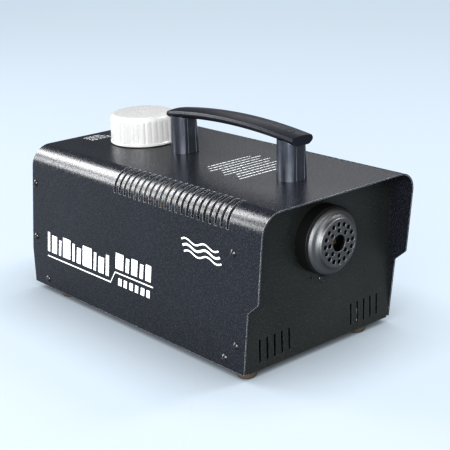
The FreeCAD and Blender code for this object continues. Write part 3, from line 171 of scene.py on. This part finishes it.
FINISH = {
    # case_paint's pale edge colour is a painted highlight along the sheet's edges
    "case_paint": dict(colour=(0.0050, 0.0060, 0.0092), rough=0.30, grain=820, depth=0.06, mottle=12,
                       tone=0.15, rough_spread=0.10, wear_and_highlight=1, worn_and_highlight_colour=(0.55, 0.57, 0.60), glint_speck=0.022,
                       shine=0.26, edge_size=0.5),
    "panel_paint": dict(colour=(0.0056, 0.0072, 0.0066), rough=0.44, grain=820, depth=0.06, mottle=12,
                        tone=0.15, rough_spread=0.10, wear_and_highlight=0.6, worn_and_highlight_colour=(0.12, 0.125, 0.12), glint_speck=0.026,
                        shine=0.31),
    "rubber": dict(colour=(0.034, 0.024, 0.016), rough=0.7, grain=900, depth=0.04, tone=0.25, wear_and_highlight=0.3,
                   worn_and_highlight_colour=(0.08, 0.07, 0.06)),
    "liner": dict(colour=(0.8, 0.8, 0.77), rough=0.75, grain=2500, depth=0.05),
    "hose": dict(colour=(0.78, 0.78, 0.72), rough=0.25, grain=400, depth=0.01, soft=0.3),
    "black_steel": dict(colour=(0.028, 0.028, 0.03), rough=0.28, metal=0.85, grain=1500, depth=0.008,
                        tone=0.2, wear_and_highlight=0.9, worn_and_highlight_colour=(0.35, 0.35, 0.36)),
    "bright_steel": dict(colour=(0.62, 0.62, 0.6), rough=0.3, metal=1, grain=1500, depth=0.008, tone=0.15,
                         brushed=(1, 1, 12), wear_and_highlight=0.5, worn_and_highlight_colour=(0.8, 0.8, 0.8)),
    "cap_metal": dict(colour=(0.092, 0.094, 0.096), rough=0.50, metal=1, grain=1400, depth=0.006,
                      mottle=40, tone=0.08, rough_spread=0.07, wear_and_highlight=0.7, worn_and_highlight_colour=(0.5, 0.5, 0.5),
                      edge_size=0.4),
    "collar_black": dict(colour=(0.004, 0.004, 0.004), rough=0.5, shine=0.15, grain=1500, depth=0.03,
                         wear_and_highlight=0.4, worn_and_highlight_colour=(0.1, 0.1, 0.1)),
    "brass_parts": dict(colour=(0.16, 0.10, 0.045), rough=0.45, metal=1, grain=1300, depth=0.01,
                        brushed=(1, 9, 1), wear_and_highlight=0.3, worn_and_highlight_colour=(0.4, 0.3, 0.16)),
    "grip_plastic": dict(colour=(0.0060, 0.0070, 0.0105), rough=0.33, shine=0.10, grain=1100, depth=0.006,
                         mottle=18, tone=0.15, rough_spread=0.06, wear_and_highlight=0.3, worn_and_highlight_colour=(0.07, 0.075, 0.085)),
    "post_plastic": dict(colour=(0.029, 0.033, 0.042), rough=0.30, metal=0.55, grain=700, depth=0.02,
                         mottle=45, tone=0.3, brushed=(1, 1, 0.05), wear_and_highlight=0.5, worn_and_highlight_colour=(0.2, 0.21, 0.22)),
    "tank_plastic": dict(colour=(0.82, 0.83, 0.78), rough=0.4, grain=500, depth=0.03, soft=0.3),
    "cap_plastic": dict(colour=(0.265, 0.264, 0.262), rough=0.34, grain=700, depth=0.008, mottle=35,
                        tone=0.03, soft=0.25, wear_and_highlight=0.06, worn_and_highlight_colour=(0.95, 0.95, 0.94)),
    "cast_block": dict(colour=(0.55, 0.55, 0.55), rough=0.5, metal=0.9, grain=700, depth=0.12, tone=0.15,
                       wear_and_highlight=0.4, worn_and_highlight_colour=(0.75, 0.75, 0.75)),
    "lagging": dict(colour=(0.05, 0.045, 0.04), rough=0.9, grain=900, depth=0.25, tone=0.2),
    "zinc_sheet": dict(colour=(0.55, 0.57, 0.58), rough=0.32, metal=1, grain=1200, depth=0.006, mottle=60,
                       tone=0.2, wear_and_highlight=0.4, worn_and_highlight_colour=(0.8, 0.8, 0.8)),
    "lead_sleeve": dict(colour=(0.62, 0.25, 0.06), rough=0.8, grain=2200, depth=0.12, tone=0.25),
    "coil_red": dict(colour=(0.36, 0.05, 0.03), rough=0.3, grain=1200, depth=0.05, tone=0.2, coat=0.4),
    "board_green": dict(colour=(0.03, 0.18, 0.08), rough=0.35, grain=1500, depth=0.02, tone=0.15),
    "part_blue": dict(colour=(0.06, 0.15, 0.45), rough=0.35, grain=900, depth=0.01),
    "part_black": dict(colour=(0.018, 0.018, 0.019), rough=0.42, grain=1300, depth=0.02, tone=0.2,
                       wear_and_highlight=0.4, worn_and_highlight_colour=(0.1, 0.1, 0.105)),
    "part_green": dict(colour=(0.07, 0.32, 0.1), rough=0.4, grain=900, depth=0.01),
    "wire_sleeve": dict(colour=(0.4, 0.05, 0.04), rough=0.45, grain=700, depth=0.01, tone=0.15),
    "rocker_red": dict(colour=(0.5, 0.02, 0.015), rough=0.25, grain=700, depth=0.006, tone=0.08, coat=0.4,
                       wear_and_highlight=0.3, worn_and_highlight_colour=(0.7, 0.2, 0.18)),
    "button_green": dict(colour=(0.03, 0.32, 0.08), rough=0.25, grain=700, depth=0.006, coat=0.4),
    "lamp_amber": dict(colour=(0.8, 0.32, 0.03), rough=0.12, grain=500, depth=0.004, coat=0.5,
                       light=0.25),
    "fuse_glass": dict(colour=(0.85, 0.9, 0.9), rough=0.05, grain=300, depth=0.002, rough_spread=0.02,
                       clear=0.8),
    "white_ink": dict(colour=(0.52, 0.53, 0.54), rough=0.55, grain=2200, depth=0.02, mottle=160,
                      tone=0.08),
}
MATERIALS = {name: paint(name, **finish) for name, finish in FINISH.items()}
BODY_OF = {n: b for b, members in frame["record"]["behaviour"]["bodies"].items() for n in members}
SLOT_OF = {p["node"]: p["material_slot"] for p in frame["record"]["subparts"]}


# ------------------------------------------------------------------ mesh helpers


def placed(name, data, slot, body):
    """An object for a mesh, with its material, that rides on a body."""
    data.materials.clear()
    data.materials.append(MATERIALS[slot])
    made = bpy.data.objects.new(name, data)
    bpy.context.scene.collection.objects.link(made)
    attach(made, body)
    return made


def mesh_piece(name, vertices, faces, slot, body, smooth=True, sharp=35):
    """A mesh in millimetres, in the row frame, that rides on a body. sharp is an angle in degrees."""
    data = bpy.data.meshes.new(name)
    data.from_pydata([Vector(v) * MM for v in vertices], [], faces)
    work = bmesh.new()
    work.from_mesh(data)
    bmesh.ops.remove_doubles(work, verts=work.verts, dist=1e-7)
    bmesh.ops.recalc_face_normals(work, faces=work.faces)
    for edge in work.edges:
        edge.smooth = not (len(edge.link_faces) == 2 and edge.calc_face_angle(0) > math.radians(sharp))
    for face in work.faces:
        face.smooth = smooth
    work.to_mesh(data)
    work.free()
    return placed(name, data, slot, body)


def bevel(made, width, segments=2, angle=35):
    """Rounds an object's sharp edges. Welds first, because the edges of CAD nodes are split."""
    weld = made.modifiers.new("weld", "WELD")
    weld.merge_threshold = 2e-6
    rounding = made.modifiers.new("rounding", "BEVEL")
    rounding.width = width * MM
    rounding.segments = segments
    rounding.limit_method = "ANGLE"
    rounding.angle_limit = math.radians(angle)
    rounding.harden_normals = False
    rounding.use_clamp_overlap = True
    even = made.modifiers.new("even_normals", "WEIGHTED_NORMAL")
    even.keep_sharp = False
    even.weight = 100
    return made


def lathe(profile, steps, wave=None):
    """Vertices and faces of a profile (radius, height) turned about Z. wave(i, turn) adds to the radius."""
    vertices, faces, count = [], [], len(profile)
    for s in range(steps):
        turn = 2 * math.pi * s / steps
        for i, (radius, height) in enumerate(profile):
            r = radius + (wave(i, turn) if wave else 0)
            vertices.append((r * math.cos(turn), r * math.sin(turn), height))
    for s in range(steps):
        a, b = s * count, ((s + 1) % steps) * count
        for i in range(count - 1):
            faces.append((a + i, b + i, b + i + 1, a + i + 1))
    return vertices, faces


def rounded(corners, radii, steps=5, closed=True):
    """A polygon's corners rounded to the radii given, one for each."""
    out, count = [], len(corners)
    for i, (corner, radius) in enumerate(zip(corners, radii)):
        here = Vector(corner)
        if radius == 0 or (not closed and i in (0, count - 1)):
            out.append(tuple(here))
            continue
        back, ahead = Vector(corners[i - 1]) - here, Vector(corners[(i + 1) % count]) - here
        half = back.angle(ahead) / 2
        reach = min(radius / math.tan(half), 0.49 * back.length, 0.49 * ahead.length)
        start, end = here + back.normalized() * reach, here + ahead.normalized() * reach
        for k in range(steps + 1):
            t = k / steps
            out.append(tuple((1 - t) ** 2 * start + 2 * t * (1 - t) * here + t ** 2 * end))
    return out


def plate(name, outline_points, holes, thick, chamfer, slot, body, place):
    """A flat plate from closed outlines, with rounded rims, as a mesh. place moves it into the frame."""
    curve = bpy.data.curves.new(name, "CURVE")
    curve.dimensions, curve.fill_mode = "2D", "BOTH"
    curve.extrude, curve.bevel_depth, curve.bevel_resolution = (thick / 2 - chamfer) * MM, chamfer * MM, 2
    curve.offset = -chamfer * MM
    for loop in [outline_points, *holes]:
        spline = curve.splines.new("POLY")
        spline.points.add(len(loop) - 1)
        for point, (x, y) in zip(spline.points, loop):
            point.co = (x * MM, y * MM, 0, 1)
        spline.use_cyclic_u = True
    holder = bpy.data.objects.new(name + "_curve", curve)
    bpy.context.scene.collection.objects.link(holder)
    bpy.context.view_layer.update()
    data = bpy.data.meshes.new_from_object(holder.evaluated_get(bpy.context.evaluated_depsgraph_get()))
    bpy.data.objects.remove(holder)
    data.transform(place)
    data.name = name
    return placed(name, data, slot, body)


def ring(radius, x=0, y=0, steps=32, way=1):
    """Points on a circle. way is 1 for an outline and -1 for a hole."""
    turns = [way * 2 * math.pi * i / steps for i in range(steps)]
    return [(x + radius * math.cos(turn), y + radius * math.sin(turn)) for turn in turns]


def shift(vertices, x, y, z):
    """Vertices moved by x, y and z."""
    return [(a + x, b + y, c + z) for a, b, c in vertices]


def box_of(node):
    """The lowest corner, the highest corner and the middle of a node, in millimetres."""
    low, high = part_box(node)
    return low / MM, high / MM, (low + high) / 2 / MM


# ------------------------------------------------------------------ CAD nodes


PLAIN_ROUNDING = 0.15
ROUNDING = {"nozzle_collar": 0.4, "cover_screws": 0.18, "collar_screw": 0.18, "switch_housing": 0.25,
            "power_rocker": 0.4, "button_housing": 0.3, "fog_button": 0.5, "remote_socket": 0.3,
            "mains_inlet": 0.3, "fuse_drawer": 0.25, "ready_lamp": 0.2}
ROUNDING |= {f"foot_{end}_{side}": 0.5 for end in ("front", "rear") for side in ("left", "right")}
REMESHED = {"top_cover": 0.5, "chassis_tray": 0.3, "rear_panel": 0.3, "handle_post_front": 0.5,
            "handle_post_rear": 0.5, "pump_spring": 0.08}


def remeshed(node, width):
    """A node's surface rebuilt with whole flat faces in place of slivers, so its edges shade cleanly."""
    work = bmesh.new()
    work.from_mesh(frame["nodes"][node].data)
    bmesh.ops.remove_doubles(work, verts=work.verts, dist=2e-6)
    bmesh.ops.dissolve_limit(work, angle_limit=math.radians(0.4), verts=work.verts, edges=work.edges,
                             use_dissolve_boundaries=False, delimit=set())
    bmesh.ops.recalc_face_normals(work, faces=work.faces)
    for face in work.faces:
        face.smooth = True
    data = bpy.data.meshes.new(node + "_skin")
    work.to_mesh(data)
    work.free()
    made = placed(node + "_skin", data, SLOT_OF[node], BODY_OF[node])
    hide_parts(node)
    return bevel(made, width, 3)


def finish_nodes():
    """Gives each CAD node its material and rounded edges. Returns the pieces that replace nodes."""
    skins = {}
    for name, made in frame["nodes"].items():
        made.data.materials.clear()
        made.data.materials.append(MATERIALS[SLOT_OF[name]])
        if name in REMESHED:
            skins[name] = remeshed(name, REMESHED[name])
        else:
            bevel(made, ROUNDING.get(name, PLAIN_ROUNDING))
    return skins


def soften_spring(spring):
    """Gives the pump's spring a mesh of its own."""
    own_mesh(spring)


soften_spring(finish_nodes()["pump_spring"])


# ------------------------------------------------------------------ nozzle


def nozzle():
    """The pressed cap: a rounded shoulder that sweeps up to a flat face with two rings of holes."""
    low, _, middle = box_of("nozzle_cap")
    back = box_of("nozzle_collar")[0].y
    tall = back - low.y
    skirt, inside, tongue, face_edge = 28.95, 28.2, 27.2, 19.0  # radii
    outer = [(face_edge, tall - 0.12), (21.3, tall - 0.12), (22.5, tall - 2.7), (24.2, tall - 4.5),
             (26.9, tall - 5.5), (28.85, tall - 7.5), (skirt, 0.12)]
    inner = [(inside, 0.12), (inside, -3.8), (tongue, -3.8), (tongue, 0.5), (24.6, 1.8), (22.2, 2.8),
             (20.4, 6.0), (face_edge, tall - 1.4)]
    radii = [0.1, 2.0, 3.0, 4.0, 3.4, 2.4, 0.3] + [0.1, 0.1, 0.1, 0.5, 0.5, 0.5, 0.5, 0.1]
    profile = rounded(outer + inner, radii, 9)
    vertices, faces = lathe(profile + profile[:1], 128)
    vertices = [(x, -z, y) for x, y, z in vertices]
    rim = mesh_piece("nozzle_rim", shift(vertices, middle.x, back, middle.z), faces, "cap_metal", "case",
                     sharp=50)
    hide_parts("nozzle_cap")

    face_radius, face_depth, face_thick, centre_hole, small_hole = 19.4, 0.85, 1.3, 7.3, 2.0
    holes = [ring(centre_hole, steps=64, way=-1)]
    for radius, count in ((16.25, 16), (10.9, 8)):
        for i in range(count):
            angle = 2 * math.pi * i / count
            holes.append(ring(small_hole, radius * math.cos(angle), radius * math.sin(angle), 28, -1))
    centre = Vector((middle.x, low.y + face_depth, middle.z)) * MM
    upright = Matrix.Translation(centre) @ Matrix.Rotation(math.radians(90), 4, "X")
    plate("nozzle_face", ring(face_radius, steps=128), holes, face_thick, 0.32, "cap_metal", "case", upright)


nozzle()


# ------------------------------------------------------------------ handle


ARCH_RISE = 6.1


def grip():
    """The arched grip: a nearly flat top, slanting sides, a full underside and faceted ends."""
    low, high, centre = box_of("handle_grip")
    reach = (high.y - low.y) / 2 - 0.3
    half = [(-7.2, 0.1), (-11.3, 2.6), (-12.4, 4.7), (-11.2, 7.3)]
    corners = half[:1] + [(-x, z) for x, z in half] + [(0, 8.6)] + half[:0:-1]
    section = rounded(corners, [5, 5, 2.5, 1.2, 1.1, 60, 1.1, 1.2, 2.5], 6)
    count, stations = len(section), 96
    tail_start, nose_start, nose_slant, waist = 0.93, 0.97, 0.5, 4.3
    vertices, faces = [], []
    for s in range(stations + 1):
        t = -1 + 2 * s / stations
        base = low.z + ARCH_RISE * (1 - t * t)
        tail = max(0, (t - tail_start) / (1 - tail_start)) ** 2
        nose = max(0, (-t - nose_start) / (1 - nose_start))
        for x, z in section:
            slant = nose_slant * nose * (z / waist - 1)
            across, up = x * (1 - 0.24 * tail), z * (1 - 0.35 * tail) + tail
            vertices.append((across, centre.y + reach * t + slant, base + up))
    for s in range(stations):
        a, b = s * count, (s + 1) * count
        for i in range(count):
            j = (i + 1) % count
            faces.append((a + i, a + j, b + j, b + i))
    faces.append(tuple(range(count)))
    faces.append(tuple(range(stations * count, (stations + 1) * count)))
    sharp = 48
    made = mesh_piece("grip_moulding", vertices, faces, "grip_plastic", "case", sharp=sharp)
    rounding = made.modifiers.new("rounding", "BEVEL")
    rounding.width, rounding.segments, rounding.limit_method = 0.7 * MM, 3, "ANGLE"
    rounding.angle_limit = math.radians(sharp)
    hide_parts("handle_grip")
    grip_mark(low.z, centre.y, reach)


def grip_mark(foot, middle, reach):
    """A shallow round witness mark in the grip's top, over the front post."""
    spot = box_of("handle_post_front")[2]
    t = (spot.y - middle) / reach
    top = foot + ARCH_RISE * (1 - t * t) + 8.42
    vertices, faces = lathe([(3.6, -0.35), (3.75, 0.02), (4.05, 0.07), (4.35, 0.02), (4.5, -0.35)], 64)
    lean = math.atan(2 * ARCH_RISE * t / reach)
    along, across = math.cos(lean), math.sin(lean)
    vertices = [(x, y * along + z * across, z * along - y * across) for x, y, z in vertices]
    mesh_piece("grip_mark", shift(vertices, spot.x, spot.y, top), faces, "grip_plastic", "case")


grip()


# ------------------------------------------------------------------ filler cap


def fade(value, start, length):
    """0 before start, 1 past start + length."""
    return max(0.0, min(1.0, (value - start) / length))


def filler_cap():
    """White moulded cap: fluted side, rounded shoulder, slightly domed top with a gate mark."""
    low, high, middle = box_of("tank_cap")
    tall = high.z - low.z
    wall, skirt, flutes, flute_depth = 27.4, 32.9, 32, 0.42
    outer = rounded([(wall, 0.1), (skirt, 0.1), (skirt, 2.0), (32.5, 2.5), (32.1, tall - 5.4),
                     (30.2, tall - 0.9), (22, tall - 0.5), (2.4, tall - 0.35), (1.9, tall - 0.02),
                     (0, tall - 0.02)], [0.3, 0.3, 0.4, 0.4, 6.0, 5.0, 3, 0.2, 0.3, 0], 7, closed=False)
    inner = [(0, tall - 2.3), (wall, tall - 2.3), (wall, 0.1)]
    coarse, profile = outer + inner, []
    for (r0, h0), (r1, h1) in zip(coarse, coarse[1:]):
        steps = 8 if abs(h1 - h0) > 8 and r0 > 29 else 1
        profile += [(r0 + (r1 - r0) * k / steps, h0 + (h1 - h0) * k / steps) for k in range(steps)]
    profile.append(coarse[-1])

    def flute(i, turn):
        radius, height = profile[i]
        if radius < 29:
            return 0
        depth = fade(height, 3.0, 1.2) * (1 - fade(height, tall - 6.1, 2.5))
        return -flute_depth * depth * (0.5 + 0.5 * math.cos(flutes * turn)) ** 3

    vertices, faces = lathe(profile, flutes * 14, flute)
    made = mesh_piece("filler_cap", shift(vertices, middle.x, middle.y, low.z), faces, "cap_plastic", "cap",
                      sharp=60)
    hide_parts("tank_cap")


filler_cap()


# ------------------------------------------------------------------ printed marks


SIDE = box_of("top_cover")[0].x
TOP = box_of("top_cover")[1].z
FACE, FLOOR = box_of("chassis_tray")[0].y, box_of("chassis_tray")[0].z
PRINT_OUT, PRINT_IN = 0.05, 0.02  # how far a print stands out of the paint, and reaches into it


def side_ink(name, shapes):
    """Flat printed shapes on the case's side, from outlines measured back from the front and up."""
    vertices, faces = [], []
    for shape in shapes:
        start, count = len(vertices), len(shape)
        for x in (SIDE - PRINT_OUT, SIDE + PRINT_IN):
            vertices += [(x, FACE + back, FLOOR + up) for back, up in shape]
        faces.append(tuple(range(start, start + count)))
        faces.append(tuple(range(start + count, start + 2 * count)))
        for i in range(count):
            j = (i + 1) % count
            faces.append((start + i, start + j, start + count + j, start + count + i))
    return mesh_piece(name, vertices, faces, "white_ink", "case", smooth=False)


def bar(back, up, length, height, lean=0.0):
    """A bar that runs towards the nozzle from back, leaning forward by lean over its height."""
    return [(back, up), (back - length, up), (back - length - lean, up + height), (back - lean, up + height)]


def ribbon(points, width):
    """A closed outline of constant width round a line of points."""
    left, right = [], []
    for i, (a, b) in enumerate(points):
        ahead = Vector(points[min(i + 1, len(points) - 1)]) - Vector(points[max(i - 1, 0)])
        side = Vector((-ahead.y, ahead.x)).normalized() * width / 2
        left.append((a + side.x, b + side.y))
        right.append((a - side.x, b - side.y))
    return left + right[::-1]


def bar_row(back, up, height, drop, every, gap, lean, widths):
    """A row of bars of the widths given, whose tops drop in steps and start again."""
    row = []
    for i, wide in enumerate(widths):
        row.append(bar(back, up, wide, height - drop * (i % every), lean))
        back -= wide + gap
    return row


def side_marks():
    """Generic bars and waves in white ink on the left side. None of them is lettering."""
    big = bar_row(292, 39, 21, 2.2, 3, 3.4, 3, [4, 9, 4, 13, 4, 7, 15, 4, 9, 5])
    middle = bar_row(175.5, 50, 16, 1.8, 2, 3.6, 2.4, [12, 5, 9, 5, 8])
    under = ribbon([(293, 34), (185, 34), (176.5, 46), (119, 46)], 1.3)
    small = [bar(173 - 8.6 * i, 34, 5.4 - 0.6 * (i % 2), 7.4, 1.2) for i in range(6)]
    side_ink("side_bars", big + middle + [under] + small)
    waves, steps, wave_height = [], 40, 1.7
    for k, width in enumerate((1.5, 2.1, 1.5)):
        line = []
        for t in range(steps + 1):
            swell = wave_height * math.sin(4 * math.pi * t / steps)
            line.append((72 - 48 * t / steps + 1.5 * k, 92 + 5.2 * k + swell))
        waves.append(ribbon(line, width))
    side_ink("side_waves", waves)


def top_marks():
    """Broken lines in white ink on the top, between the handle's posts and beside the filler cap."""
    vertices, faces, dash_width = [], [], 1.25

    def dash(x, y, length):
        start = len(vertices)
        for z in (TOP - PRINT_IN, TOP + PRINT_OUT):
            vertices.extend([(x, y, z), (x + length, y, z), (x + length, y + dash_width, z),
                             (x, y + dash_width, z)])
        faces.extend(tuple(start + k for k in quad) for quad in (
            (0, 1, 2, 3), (4, 5, 6, 7), (0, 1, 5, 4), (1, 2, 6, 5), (2, 3, 7, 6), (3, 0, 4, 7)))

    rows = [(64 + 6.4 * row, -32 + 4 * (row % 3), 34 - 7 * ((row + 1) % 2)) for row in range(9)]
    rows += [(280 + 4.6 * row, -36, -8 - 3 * row) for row in range(4)]
    for back, x, right in rows:
        while x < right:
            length = min(random.uniform(1.8, 5.5), right - x)
            dash(x, FACE + back, length)
            x += length + random.uniform(0.7, 1.2)
    mesh_piece("top_lines", vertices, faces, "white_ink", "case", smooth=False)


side_marks()
top_marks()


# ------------------------------------------------------------------ setting


def studio_floor():
    """A wide, plain, softly glowing floor, with a painted contact shadow where its glow darkens close under
    the machine.
    """
    far = 40
    data = bpy.data.meshes.new("floor")
    data.from_pydata([(-far, -far, 0), (far, -far, 0), (far, far, 0), (-far, far, 0)], [], [(0, 1, 2, 3)])
    pale = bpy.data.materials.new("pale_floor")
    pale.use_nodes = True
    shader = pale.node_tree.nodes["Principled BSDF"]
    # ambient occlusion dims the glow near the machine: a painted shadow
    painted_contact_shadow = pale.node_tree.nodes.new("ShaderNodeAmbientOcclusion")
    painted_contact_shadow.inputs["Color"].default_value = (0.789, 0.895, 1.0, 1)
    painted_contact_shadow.inputs["Distance"].default_value = 0.09
    pale.node_tree.links.new(painted_contact_shadow.outputs["Color"], shader.inputs["Emission Color"])
    shader.inputs["Emission Strength"].default_value = 0.82
    shader.inputs["Base Color"].default_value = (0.055, 0.06, 0.065, 1)
    shader.inputs["Roughness"].default_value = 0.9
    shader.inputs["Specular IOR Level"].default_value = 0.1
    data.materials.append(pale)
    ground = bpy.data.objects.new("floor", data)
    bpy.context.scene.collection.objects.link(ground)


def area_light(name, at, to, size, power):
    """A rectangular light that faces a point, in metres and watts."""
    lamp = bpy.data.lights.new(name, "AREA")
    lamp.shape, lamp.energy = "RECTANGLE", power
    lamp.size, lamp.size_y = size
    holder = bpy.data.objects.new(name, lamp)
    bpy.context.scene.collection.objects.link(holder)
    holder.location = at
    holder.rotation_euler = (Vector(to) - Vector(at)).to_track_quat("-Z", "Y").to_euler()


def lights():
    """A pale sky, a key light from behind on the left, soft fills and the view's contrast."""
    world = bpy.data.worlds.new("studio")
    bpy.context.scene.world = world
    world.use_nodes = True
    sky = world.node_tree.nodes["Background"]
    sky.inputs["Color"].default_value = (0.86, 0.93, 1.0, 1)
    sky.inputs["Strength"].default_value = 0.28
    middle = (0, 0, 0.12)
    area_light("key", (-0.62, 1.45, 1.25), middle, (0.8, 0.8), 66)
    area_light("low_edge", (-1.2, 1.4, 0.6), middle, (0.7, 0.5), 32)
    area_light("front_left", (-1.25, -0.8, 0.56), middle, (1.1, 0.9), 78)
    area_light("front", (0.1, -1.3, 0.7), (0, 0, 0.14), (0.6, 0.6), 12)
    area_light("rim", (0.95, -0.55, 1.2), middle, (0.3, 0.3), 34)
    area_light("back_right", (1.15, 1.0, 0.82), (0, 0, 0.1), (0.6, 0.4), 1.5)
    look = bpy.context.scene.view_settings
    look.view_transform, look.gamma = "Standard", 0.8


def camera():
    """A long lens from the front left, a little above the machine."""
    right = Vector((0.7535, -0.6566, -0.0348))
    up = Vector((0.2281, 0.2113, 0.9505))
    back = Vector((-0.6167, -0.7240, 0.3090))
    lens = bpy.data.cameras.new("camera")
    lens.lens, lens.sensor_width = 88.58, 36
    lens.clip_start, lens.clip_end = 0.05, 100
    holder = bpy.data.objects.new("camera", lens)
    bpy.context.scene.collection.objects.link(holder)
    turned = Matrix((right, up, back)).transposed().to_4x4()
    holder.matrix_world = Matrix.Translation((-0.6342, -0.76775, 0.4057)) @ turned
    bpy.context.scene.camera = holder


studio_floor()
lights()
camera()
